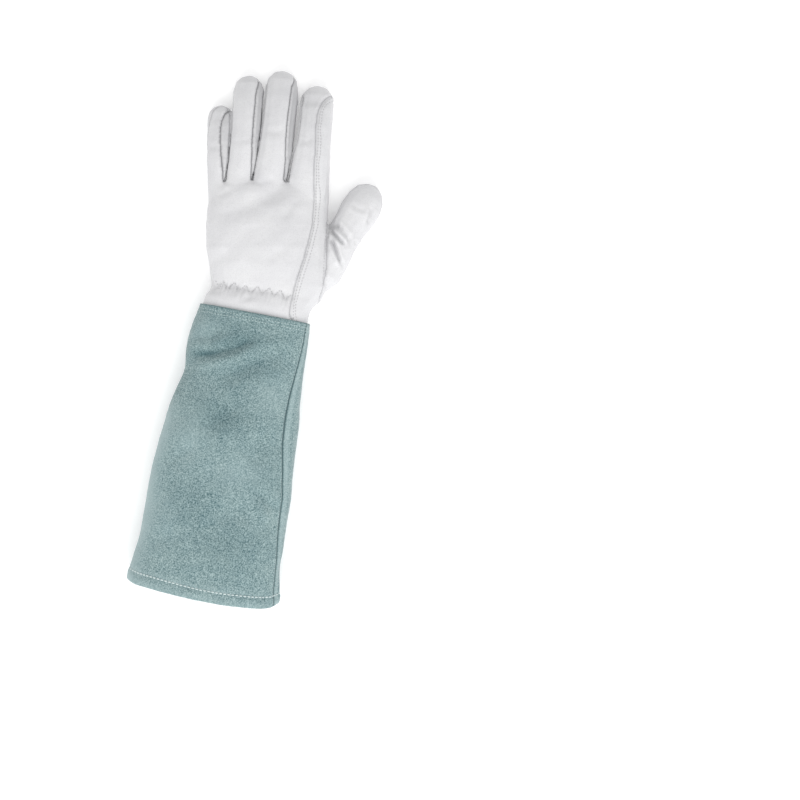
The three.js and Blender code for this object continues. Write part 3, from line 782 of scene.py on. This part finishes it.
# Kinds of stitch: length, gap after it, width and thread.
TOP_STITCH = (1.6, 0.9, 0.75, aqua_thread)
HEM_STITCH = (2.4, 0.7, 1.15, hem_thread)
INDEX_STITCH = (1.6, 0.8, 0.85, shaded_pale_thread)
THUMB_STITCH = (1.6, 0.8, 0.7, shaded_pale_thread)
WRIST_STITCH = (1.5, 0.3, 0.85, shaded_pale_thread)
rows = [cuff_row(distance) for distance in TOP_ROWS]
piece = stitches("cuff-top-stitches", rows, cuff_surface, *TOP_STITCH)
piece = stitches("hem-stitches", [cuff_row(CUFF_LENGTH - HEM_ROW)], cuff_surface, *HEM_STITCH)


# The hand: one smooth skin over all its solids, cut into the same panels

SKIN_PITCH = 0.85
SKIN_GROWTH = 0.2
END_CUT = 1.6
CLEAN_ROUNDS, SKIN_ROUNDS, SEAM_ROUNDS, LAST_ROUNDS = 3, 30, 14, 6
BACK = HAND_PANELS.index("back_panel")
LITTLE_STRIP = HAND_PANELS.index("fourchette_little_ring")


def closed_skin(points, triangles):
    """Outer surface of walls that enclose a hollow, as quads, from a field of distances."""
    pitch, band, margin = SKIN_PITCH, 4.0, 6
    low = np.floor(points.min(0) / pitch).astype(int) - margin
    count = np.ceil(points.max(0) / pitch).astype(int) + margin - low
    transform = openvdb.createLinearTransform(voxelSize=pitch)
    walls = openvdb.FloatGrid.createLevelSetFromPolygons(
        points.astype(np.float32), triangles=triangles.astype(np.uint32), transform=transform, halfWidth=band
    )
    field = np.full(tuple(count), band * pitch, np.float32)
    walls.copyToArray(field, ijk=tuple(int(v) for v in low))
    field -= SKIN_GROWTH
    inside = field < 0
    below = np.maximum.accumulate(inside, axis=2)
    above = np.maximum.accumulate(inside[:, :, ::-1], axis=2)[:, :, ::-1]
    field[below & above & ~inside] = -2.0 * pitch
    solid = openvdb.FloatGrid(band * pitch)
    solid.copyFromArray(field, ijk=tuple(int(v) for v in low))
    solid.transform = transform
    skin, _, quads = solid.convertToPolygons(isovalue=0.0, adaptivity=0.0)
    skin, quads = skin.astype(float), quads.astype(np.int64)
    outward = (face_normals(skin, quads) * skin[quads].mean(1)).sum()
    return skin, quads if outward > 0 else quads[:, ::-1]


def faces_beside(face_edge, edge_count):
    """The two faces on each edge, which are the same face where the edge is open."""
    order = np.argsort(face_edge.ravel(), kind="stable")
    faces = order // face_edge.shape[1]
    sorted_edges = face_edge.ravel()[order]
    starts = np.searchsorted(sorted_edges, np.arange(edge_count))
    ends = np.searchsorted(sorted_edges, np.arange(edge_count), side="right")
    return faces[starts], faces[ends - 1]


def clean_labels(labels, face_edge, edge_count, rounds):
    """A face whose neighbours nearly all belong to another panel joins that panel."""
    first, second = faces_beside(face_edge, edge_count)
    own = np.arange(len(labels))[:, None]
    other = np.where(first[face_edge] == own, second[face_edge], first[face_edge])
    for _ in range(rounds):
        for kind in range(len(HAND_PANELS)):
            votes = (labels[other] == kind).sum(1)
            labels = np.where((votes >= 3) & (labels != kind), kind, labels)
    return labels


def seam_edges(labels, edges, face_edge):
    """Edges between two panels, and which two those are."""
    first, second = faces_beside(face_edge, len(edges))
    cut = labels[first] != labels[second]
    return edges[cut], np.sort(np.stack([labels[first], labels[second]], 1), axis=1)[cut]


solid_points, solid_triangles, owners = joined_solids(HAND_PANELS)
skin, quads = closed_skin(solid_points, solid_triangles)

# Each face belongs to the panel that is nearest.
lookup = surface_of(solid_points, solid_triangles)
centres = skin[quads].mean(1)
labels = np.array([owners[lookup.find_nearest(c)[2]] for c in centres.tolist()])

# The end that closes the skin inside the cuff is taken off.
down, _ = cuff_place(centres)
keep = down < down.max() - END_CUT
quads, labels = quads[keep], labels[keep]
used, local = np.unique(quads, return_inverse=True)
skin, quads = skin[used], local.reshape(quads.shape)

# The strip of the little finger is wider on top than its solid, between these two lines in the picture.
LITTLE_SEAM = [
    (229.8, 110), (226, 112), (223.4, 116), (221.3, 121), (220.4, 128), (220.4, 140),
    (220.9, 150), (222.2, 163), (223.4, 174), (224.4, 183),
]
LITTLE_EDGE = [(230, 110), (231.5, 124), (230, 149), (227.2, 171), (225, 183)]
little_seam, little_edge = seen(LITTLE_SEAM, FINGER_HEIGHT), seen(LITTLE_EDGE, FINGER_HEIGHT)


def line_x(line, y):
    """How far to the thumb's side a line down the hand lies at y."""
    return np.interp(y, line[::-1, 1], line[::-1, 0])


def beside_line(line, y):
    """Whether y lies between a line's ends."""
    return (line[-1, 1] < y) & (y < line[0, 1])


centres = skin[quads].mean(1)
x, y = centres[:, :2].T
between = beside_line(little_seam, y) & (x > line_x(little_seam, y)) & (x < line_x(little_edge, y))
labels = np.where(between & (labels == BACK), LITTLE_STRIP, labels)

edges, face_edge = edges_of(quads)
labels = clean_labels(labels, face_edge, len(edges), CLEAN_ROUNDS)
skin = smoothed(skin, edges, SKIN_ROUNDS)
seams, seam_pairs = seam_edges(labels, edges, face_edge)
on_seam = np.zeros(len(skin), bool)
on_seam[seams.ravel()] = True


# These five functions move the skin's points in place


def straighten_little_seam(skin):
    """The widened strip's seam follows its line instead of the grid's steps."""
    step_width, step_height = 1.2, 1.5
    surface = surface_of(skin, quads)
    little_pair = (seam_pairs == [BACK, LITTLE_STRIP]).all(1)
    for vertex in np.unique(seams[little_pair]):
        x, y, z = skin[vertex]
        aim = line_x(little_seam, y)
        if beside_line(little_seam, y) and abs(x - aim) < step_width:
            hit = from_above(surface, aim, y)
            if hit is not None and abs(hit.z - z) < step_height:
                skin[vertex] = hit


def smooth_seams(skin):
    """Seams are smoothed along themselves."""
    on_one_line = np.bincount(seams.ravel(), minlength=len(skin)) == 2
    for _ in range(SEAM_ROUNDS):
        middle = neighbour_sum(seams, skin) / 2
        skin[on_one_line] += 0.5 * (middle[on_one_line] - skin[on_one_line])


KNUCKLES_Y, KNUCKLES_REACH, KNUCKLES_ROUNDS = 118.0, 17.0, 220


def level_knuckles(skin):
    """Where the fingers grow out of the hand's back it is evened out."""
    normals = vertex_normals(skin, quads)
    weight = bell(skin[:, 1] - KNUCKLES_Y, KNUCKLES_REACH) * ramp(normals[:, 2], 0.25, 0.7)
    level = smoothed(skin, edges, KNUCKLES_ROUNDS, weights=weight, pushes=(0.5,))
    skin[:, 2] += (level[:, 2] - skin[:, 2]) * weight


# Gaps between the fingers: where each ends, how wide its foot is, and how much it closes.
GAPS = [
    ((223.8, 185.5), 6.8, 4.4),
    ((250.8, 180.0), 6.4, 3.6),
    ((285.2, 181.0), 8.0, 4.4),
]
GAP_LENGTH, GAP_SHARPNESS, BELOW_FOOT, FINGER_WIDTH = 58.0, 3.2, 7.0, 19.0


def close_gaps(skin):
    """The gaps between the fingers close to a point at their feet."""
    for foot, wide, closing in GAPS:
        x0, y0 = seen([foot], FINGER_HEIGHT)[0]
        up = (skin[:, 1] - y0) / GAP_LENGTH
        past = skin[:, 0] - x0
        fade = np.where(up > 0, np.clip(1 - up, 0, 1) ** GAP_SHARPNESS, bell(skin[:, 1] - y0, BELOW_FOOT))
        beyond = 1 - ramp(past, wide, wide + FINGER_WIDTH)
        skin[:, 0] -= closing * fade * np.where(past < wide, np.clip(past / wide, 0, 1), beyond)


STRIP_GAP, STRIP_SHARE, STRIP_SWELL = 0.7, 0.6, 2.6
FAR_FINGER = 9.0
SWELL_ROUNDS = 12


def swell_strips(skin):
    """The strips between the fingers swell towards the next finger."""
    surface = surface_of(skin, quads)
    normals = vertex_normals(skin, quads)
    is_strip = np.zeros(len(skin), bool)
    is_strip[quads[labels >= LITTLE_STRIP].ravel()] = True
    is_strip &= ~on_seam & (normals[:, 0] > 0.25)
    swell = np.zeros(len(skin))
    for vertex in np.flatnonzero(is_strip):
        start = Vector(skin[vertex] + [0.05, 0, 0])
        struck, _, _, free = surface.ray_cast(start, Vector((1, 0, 0)), FAR_FINGER)
        free = FAR_FINGER if struck is None else free
        room = max(free - STRIP_GAP, 0) * STRIP_SHARE
        swell[vertex] = min(room, STRIP_SWELL) * (1 - ramp(free, 3.5, 6.0))
    degree = np.bincount(edges.ravel(), minlength=len(skin))
    for _ in range(SWELL_ROUNDS):
        swell = np.where(is_strip, neighbour_sum(edges, swell[:, None])[:, 0] / degree, 0)
    skin[:, 0] += swell


# The thumb's tuck and its swell set in between these places in the picture.
THUMB_TUCK = 2.4
TUCK_BETWEEN = [(334, 220), (366, 220)]
THUMB_SWELL, SWELL_REACH = 0.17, 13.0
SWELL_BETWEEN = [(333, 220), (340, 220)]
THUMB_MIDDLE, MIDDLE_HEIGHT = [(345, 228), (372, 192)], 14.0


def shape_thumb(skin):
    """The thumb is tucked in towards the hand, and its outer half is a little fuller."""
    skin[:, 0] -= THUMB_TUCK * ramp(skin[:, 0], *seen(TUCK_BETWEEN, THUMB_HEIGHT)[:, 0])
    low, high = seen(THUMB_MIDDLE, MIDDLE_HEIGHT)
    way = (high - low) / norm(high - low)
    side = np.array([way[1], -way[0]])
    from_middle = skin[:, :2] - (low + high) / 2
    on_thumb = ramp(skin[:, 0], *seen(SWELL_BETWEEN, THUMB_HEIGHT)[:, 0])
    fuller = THUMB_SWELL * bell(from_middle @ way, SWELL_REACH) * on_thumb
    skin[:, :2] += np.outer(fuller * (from_middle @ side), side)


straighten_little_seam(skin)
smooth_seams(skin)
skin = smoothed(skin, edges, LAST_ROUNDS, weights=(~on_seam).astype(float))
level_knuckles(skin)
close_gaps(skin)
swell_strips(skin)
shape_thumb(skin)


# Folds: how deep, wide and high, and their way in the picture. Deep ones also get painted shade.
FOLDS = [
    (2.3, 1.35, 20, [(329.5, 229), (333, 233), (339, 239.5), (346, 246)]),
    (2.7, 1.4, 20, [(330.5, 237), (333, 243), (337, 253), (343, 267)]),
    (1.3, 1.8, 20, [(333, 222), (341, 229), (348, 237), (351, 247)]),
    (1.2, 3.4, 20, [(330, 224), (334, 227), (340, 226)]),
    (1.5, 1.6, 16, [(372, 207), (371, 215), (367.5, 226)]),
    (0.9, 1.5, 16, [(355, 238), (356.5, 246), (353, 254)]),
    (0.5, 1.3, 18, [(340, 250), (344, 258), (345, 266)]),
    (0.45, 1.8, 18, [(350, 203), (358, 209), (368, 212)]),
    (0.9, 5.5, 33, [(289, 183), (277, 188), (265, 196), (245, 206), (228, 212), (210, 217)]),
    (0.6, 4.5, 33, [(210, 263), (226, 254), (241, 241)]),
    (0.5, 3.0, 33, [(256, 184), (266, 180), (276, 179)]),
    (0.45, 3.0, 33, [(300, 197), (290, 208), (283, 222)]),
    (0.5, 4.0, 33, [(262, 262), (279, 252), (296, 238)]),
    (0.5, 2.2, 30, [(217, 196), (224, 193), (231, 190)]),
    (0.35, 2.4, 24, [(265, 130), (273, 133), (285, 131)]),
    (0.3, 2.4, 24, [(232, 141), (241, 142), (251, 139)]),
    (0.35, 2.4, 22, [(299, 142), (307, 142), (315, 138)]),
    (0.3, 2.2, 20, [(207, 146), (214, 147), (220, 145)]),
    (1.0, 2.6, 30, [(209, 291), (216, 290.5), (223, 291)]),
    (1.0, 2.2, 33, [(226, 307), (238, 303), (248, 299), (257, 295)]),
]
DEEP_FOLD, FOLD_SHADE = 1.0, 0.28
# Painted shade in the thumb's crotch and creases, at the tips of the fingers and thumb, and at the wrist.
# How strong, large and high, and where in the picture.
SHADES = [
    (0.6, 5.0, 20, (332, 228)),
    (0.22, 4.0, 20, (333, 240)),
    (0.2, 13.0, 14, (217, 113)),
    (0.22, 17.0, 14, (245, 85)),
    (0.2, 17.0, 14, (281, 80)),
    (0.16, 15.0, 14, (317, 94)),
    (0.1, 12.0, 14, (360, 193)),
    (0.2, 3.5, 30, (214, 291)),
    (0.14, 1.7, 14, (371.5, 211)),
    (0.14, 1.7, 14, (370.5, 217)),
    (0.12, 1.7, 14, (368, 224)),
    (0.12, 1.5, 16, (355, 239)),
    (0.12, 1.5, 16, (356.5, 245)),
    (0.1, 1.5, 16, (354, 251)),
]


def folds_of(skin, facing_up):
    """How far the leather sinks at folds, and how much painted shade it gets there and at those places."""
    sunk = np.zeros(len(skin))
    shade = np.zeros(len(skin))
    for depth, width, height, way in FOLDS:
        far, along = path_distance(skin[:, :2], seen(way, height))
        ends = ramp(along, 0, 0.25) * (1 - ramp(along, 0.75, 1.0)) * 0.85 + 0.15
        profile = bell(far, width) - 0.45 * bell(far - 2.1 * width, 1.1 * width)
        sunk += depth * profile * ends * facing_up
        shade += FOLD_SHADE * max(depth - DEEP_FOLD, 0) * bell(far, 0.8 * width) * ends * facing_up
    for strength, size, height, spot in SHADES:
        away = norm(skin[:, :2] - seen([spot], height)[0], axis=1)
        shade += strength * bell(away, size) * facing_up
    return sunk, shade


# The wrist is drawn in under a zigzag, whose middle line this is in the picture.
WRIST_ROW = [(211, 284), (236.5, 286.5), (246, 289.5), (262, 290.5), (278, 293), (291, 298.5)]
WRIST_DIP = 0.3
GATHER_WAVE, GATHER_DEPTH, GATHER_SHADE = 3.6, 0.4, 0.14
ZIGZAG_WAVE, ZIGZAG_RISE, ZIGZAG_WIDTH = 8.6, 3.1, 0.8
ZIGZAG_DEPTH, ZIGZAG_SHADE = 0.25, 0.22


def gathers_of(skin, facing_up):
    """The same for small gathers along the wrist's row, which are longer towards the cuff."""
    wrist_row = seen(WRIST_ROW, WRIST_HEIGHT)
    wrist_down, wrist_over = cuff_place(np.column_stack([wrist_row, np.zeros(len(wrist_row))]))
    down, over = cuff_place(skin)
    off_row = down - np.interp(over, wrist_over, wrist_down)
    on_back = ramp(over, wrist_over[0] - 6, wrist_over[0] + 2)
    on_back = facing_up * on_back * (1 - ramp(over, wrist_over[-1] - 3, wrist_over[-1] + 1))
    phase = 2 * math.pi * (over / GATHER_WAVE + 0.8 * waves(skin * [1, 0.3, 0], 15.0, 1))
    size = 0.65 + 0.5 * waves(skin * [1, 0.5, 0], 9.0, 2)
    length = np.where(off_row > 0, 8.0 + 4.0 * waves(skin * [1, 0, 0], 7.0, 10), 2.6)
    gathers = (np.sin(phase) + 0.55 * np.sin(1.75 * phase)) * size * bell(off_row, length)
    sunk = on_back * (WRIST_DIP * bell(off_row, 3.0) + GATHER_DEPTH * gathers)
    return sunk, GATHER_SHADE * on_back * np.clip(gathers, 0, 1)


HIDE_WAVES = [(0.42, 26.0, 3), (0.16, 9.0, 4), (0.05, 3.6, 5)]
normals = vertex_normals(skin, quads)
facing_up = ramp(normals[:, 2], -0.15, 0.35)
sunk, shade = folds_of(skin, facing_up)
gather_sunk, gather_shade = gathers_of(skin, facing_up)
row = evenly(laid_on(surface_of(skin, quads), WRIST_ROW, WRIST_HEIGHT), ZIGZAG_WAVE / 2)
zigzag = row + FORWARD * ZIGZAG_RISE * np.where(np.arange(len(row)) % 2 == 0, 1, -1)[:, None]
thread_mark = facing_up * bell(path_distance(skin[:, :2], zigzag[:, :2])[0], ZIGZAG_WIDTH)
sunk += gather_sunk
sunk += ZIGZAG_DEPTH * thread_mark
sunk += uneven(skin, HIDE_WAVES)
# Painted shade in the gathers' valleys and along the zigzag's dent.
shade += gather_shade
shade += ZIGZAG_SHADE * thread_mark
skin = skin - normals * sunk[:, None]
WRIST_GAP, FLARE_LENGTH = 0.35, 20.0


def flare_wrist(skin):
    """The wrist flares out to the inside of the cuff's top edge and stays within the cuff."""
    inside_cuff = surface_of(inner_skin, cuff_quads)
    down, _ = cuff_place(skin)
    for vertex in np.flatnonzero(down > -FLARE_LENGTH):
        below = down[vertex]
        heart = CUFF_TOP - FORWARD * below + UP * HEART_TOP
        out = skin[vertex] - heart
        out -= FORWARD * (out @ FORWARD)
        far = norm(out)
        out /= far
        start = heart - FORWARD * max(1.0 - below, 0)
        struck, _, _, room = inside_cuff.ray_cast(Vector(start), Vector(out))
        if struck is None:
            continue
        pull = room - WRIST_GAP - far
        weight = ramp(below, -FLARE_LENGTH, -1.5)
        if below > 3 and pull > 0:
            weight = 1 - ramp(below, 3, 10)
        skin[vertex] += out * pull * weight


GROOVE_DEPTH, GROOVE_WIDTH = 0.8, 1.05
LIP_RISE, LIP_PLACE, LIP_WIDTH = 0.26, 2.5, 1.3


def groove_of(skin):
    """Seams sink between panels that swell a little on both sides of them."""
    tree = KDTree(int(on_seam.sum()))
    for place, point in enumerate(skin[on_seam].tolist()):
        tree.insert(point, place)
    tree.balance()
    far = np.array([tree.find(point)[2] for point in skin.tolist()])
    pucker = 1 + 0.5 * waves(skin, 3.2, 6)
    return GROOVE_DEPTH * bell(far, GROOVE_WIDTH) - LIP_RISE * bell(far - LIP_PLACE, LIP_WIDTH) * pucker


flare_wrist(skin)
skin = skin - vertex_normals(skin, quads) * groove_of(skin)[:, None]
skin[:, 2] = np.maximum(skin[:, 2], 0.0)
normals = vertex_normals(skin, quads)

# The strips between the fingers get painted shade, more where they face the thumb, the little finger's most.
SEAM_DARKNESS, SEAM_FADE = 0.22, 0.3
STRIP_SHADE, LITTLE_STRIP_SHADE = 0.12, 0.1
strip_points = np.unique(quads[labels >= LITTLE_STRIP])
shade[strip_points] += STRIP_SHADE + 0.3 * ramp(normals[strip_points, 0], 0.0, 0.8)
shade[np.unique(quads[labels == LITTLE_STRIP])] += LITTLE_STRIP_SHADE
# Seams are painted as dark lines.
seam_dark_and_shade = np.zeros(len(skin))
seam_dark_and_shade[seams.ravel()] = SEAM_DARKNESS
# On the strips' seams it darkens more unless it faces away from the thumb: painted shade in the finger gaps.
deep = np.unique(seams[seam_pairs[:, 1] >= LITTLE_STRIP])
seam_dark_and_shade[deep] = 0.2 + 0.8 * ramp(normals[deep, 0], -0.65, -0.35)
for _ in range(2):
    beside = np.zeros(len(skin))
    np.maximum.at(beside, edges[:, 0], seam_dark_and_shade[edges[:, 1]])
    np.maximum.at(beside, edges[:, 1], seam_dark_and_shade[edges[:, 0]])
    seam_dark_and_shade = np.maximum(seam_dark_and_shade, SEAM_FADE * beside)

for place, name in enumerate(HAND_PANELS):
    panel = quads[labels == place]
    points, faces = thick_arrays(skin, normals, panel, HAND_LEATHER)
    piece = make_leather(name.replace("_", "-"), points, faces, hide)
    used = np.unique(panel)
    paint(piece, "seam", np.tile(seam_dark_and_shade[used], 2))
    paint(piece, "shade", np.tile(shade[used], 2))
    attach(piece, "root")
    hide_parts(name)


# The hand's stitches

skin_surface = surface_of(skin, quads)
PATH_GAP = 1.5
INDEX_ROWS = (2.4, 4.6)
THUMB_ROW = -2.8
LEG_INSET = 0.04


def beside_seam(chain, offset):
    """A path on the skin beside a seam, at that distance to its right."""
    path = evenly(eased(skin[chain], 20), PATH_GAP)
    along = np.gradient(eased(path, 6), axis=0)
    spots = []
    for spot, line in zip(path, along):
        normal = np.array(skin_surface.find_nearest(Vector(spot))[1])
        right = np.cross(line, normal)
        right /= norm(right)
        spots.append(np.array(skin_surface.find_nearest(Vector(spot + right * offset))[0]))
    return eased(spots, 8)


def seam_chains(first, second):
    """The seams between two panels as lists of vertices, the longest first."""
    pair = sorted((HAND_PANELS.index(first), HAND_PANELS.index(second)))
    return chains_of(seams[(seam_pairs == pair).all(1)])


def outside_cuff(chain):
    """The chain from the wrist to the fingertips, without what the cuff hides."""
    if skin[chain[0]][1] >= skin[chain[-1]][1]:
        chain = chain[::-1]
    return [vertex for vertex in chain if cuff_place(skin[vertex])[0] < 2]


# The seam along the index finger is the long one on the thumb's side.
index_seams = seam_chains("back_panel", "palm_panel")[:4]
index_seam = max(index_seams, key=lambda chain: skin[chain][:, 0].mean() + len(chain) * 0.1)
rows = [beside_seam(outside_cuff(index_seam), offset) for offset in INDEX_ROWS]
piece = stitches("index-seam-stitches", rows, skin_surface, *INDEX_STITCH)

thumb_seam = seam_chains("palm_panel", "thumb_back")[0]
rows = [beside_seam(outside_cuff(thumb_seam), THUMB_ROW)]
piece = stitches("thumb-seam-stitches", rows, skin_surface, *THUMB_STITCH)

legs = [np.array([a + LEG_INSET * (b - a), b - LEG_INSET * (b - a)]) for a, b in zip(zigzag, zigzag[1:])]
piece = stitches("wrist-zigzag-stitches", legs, skin_surface, *WRIST_STITCH)


# Floor, light and camera


def make_floor():
    """A pale floor just under the glove."""
    material, _, shader = new_material("pale_floor", 0.9)
    set_inputs(shader, {"Base Color": (0.93, 0.93, 0.93, 1)})
    set_inputs(shader, {"Emission Color": (1, 1, 1, 1), "Emission Strength": 0.2})
    half, low = 3.0, -0.0004
    corners = [(-half, -half, low), (half, -half, low), (half, half, low), (-half, half, low)]
    floor = make_object("floor", corners, [(0, 1, 2, 3)], material)


def make_light(name, place, size, power):
    """A round soft light that faces the frame's origin."""
    light = bpy.data.lights.new(name, "AREA")
    light.shape = "DISK"
    light.size = size
    light.energy = power
    holder = put_in_scene(name, light)
    holder.location = place
    holder.rotation_euler = (-Vector(place)).to_track_quat("-Z", "Y").to_euler()


def make_camera():
    """The camera, straight above the picture's middle, which sees as much as the picture does."""
    camera = bpy.data.cameras.new("camera")
    camera.sensor_width = 36.0
    camera.lens = camera.sensor_width * CAMERA_HEIGHT / (PICTURE_SIZE * PICTURE_SCALE)
    camera.clip_end = 50.0
    holder = put_in_scene("camera", camera)
    holder.location = (*(PICTURE_MIDDLE * MM), CAMERA_HEIGHT * MM)
    bpy.context.scene.camera = holder


make_floor()
make_light("key", place=(0.0, -1.65, 1.5), size=2.0, power=30.5)
make_light("fill", place=(1.3, 0.3, 1.8), size=2.0, power=6.0)
world = bpy.data.worlds.new("studio")
world.use_nodes = True
set_inputs(world.node_tree.nodes["Background"], {"Color": (1, 1, 1, 1), "Strength": 0.8})
bpy.context.scene.world = world
bpy.context.scene.view_settings.view_transform = "Standard"
make_camera()
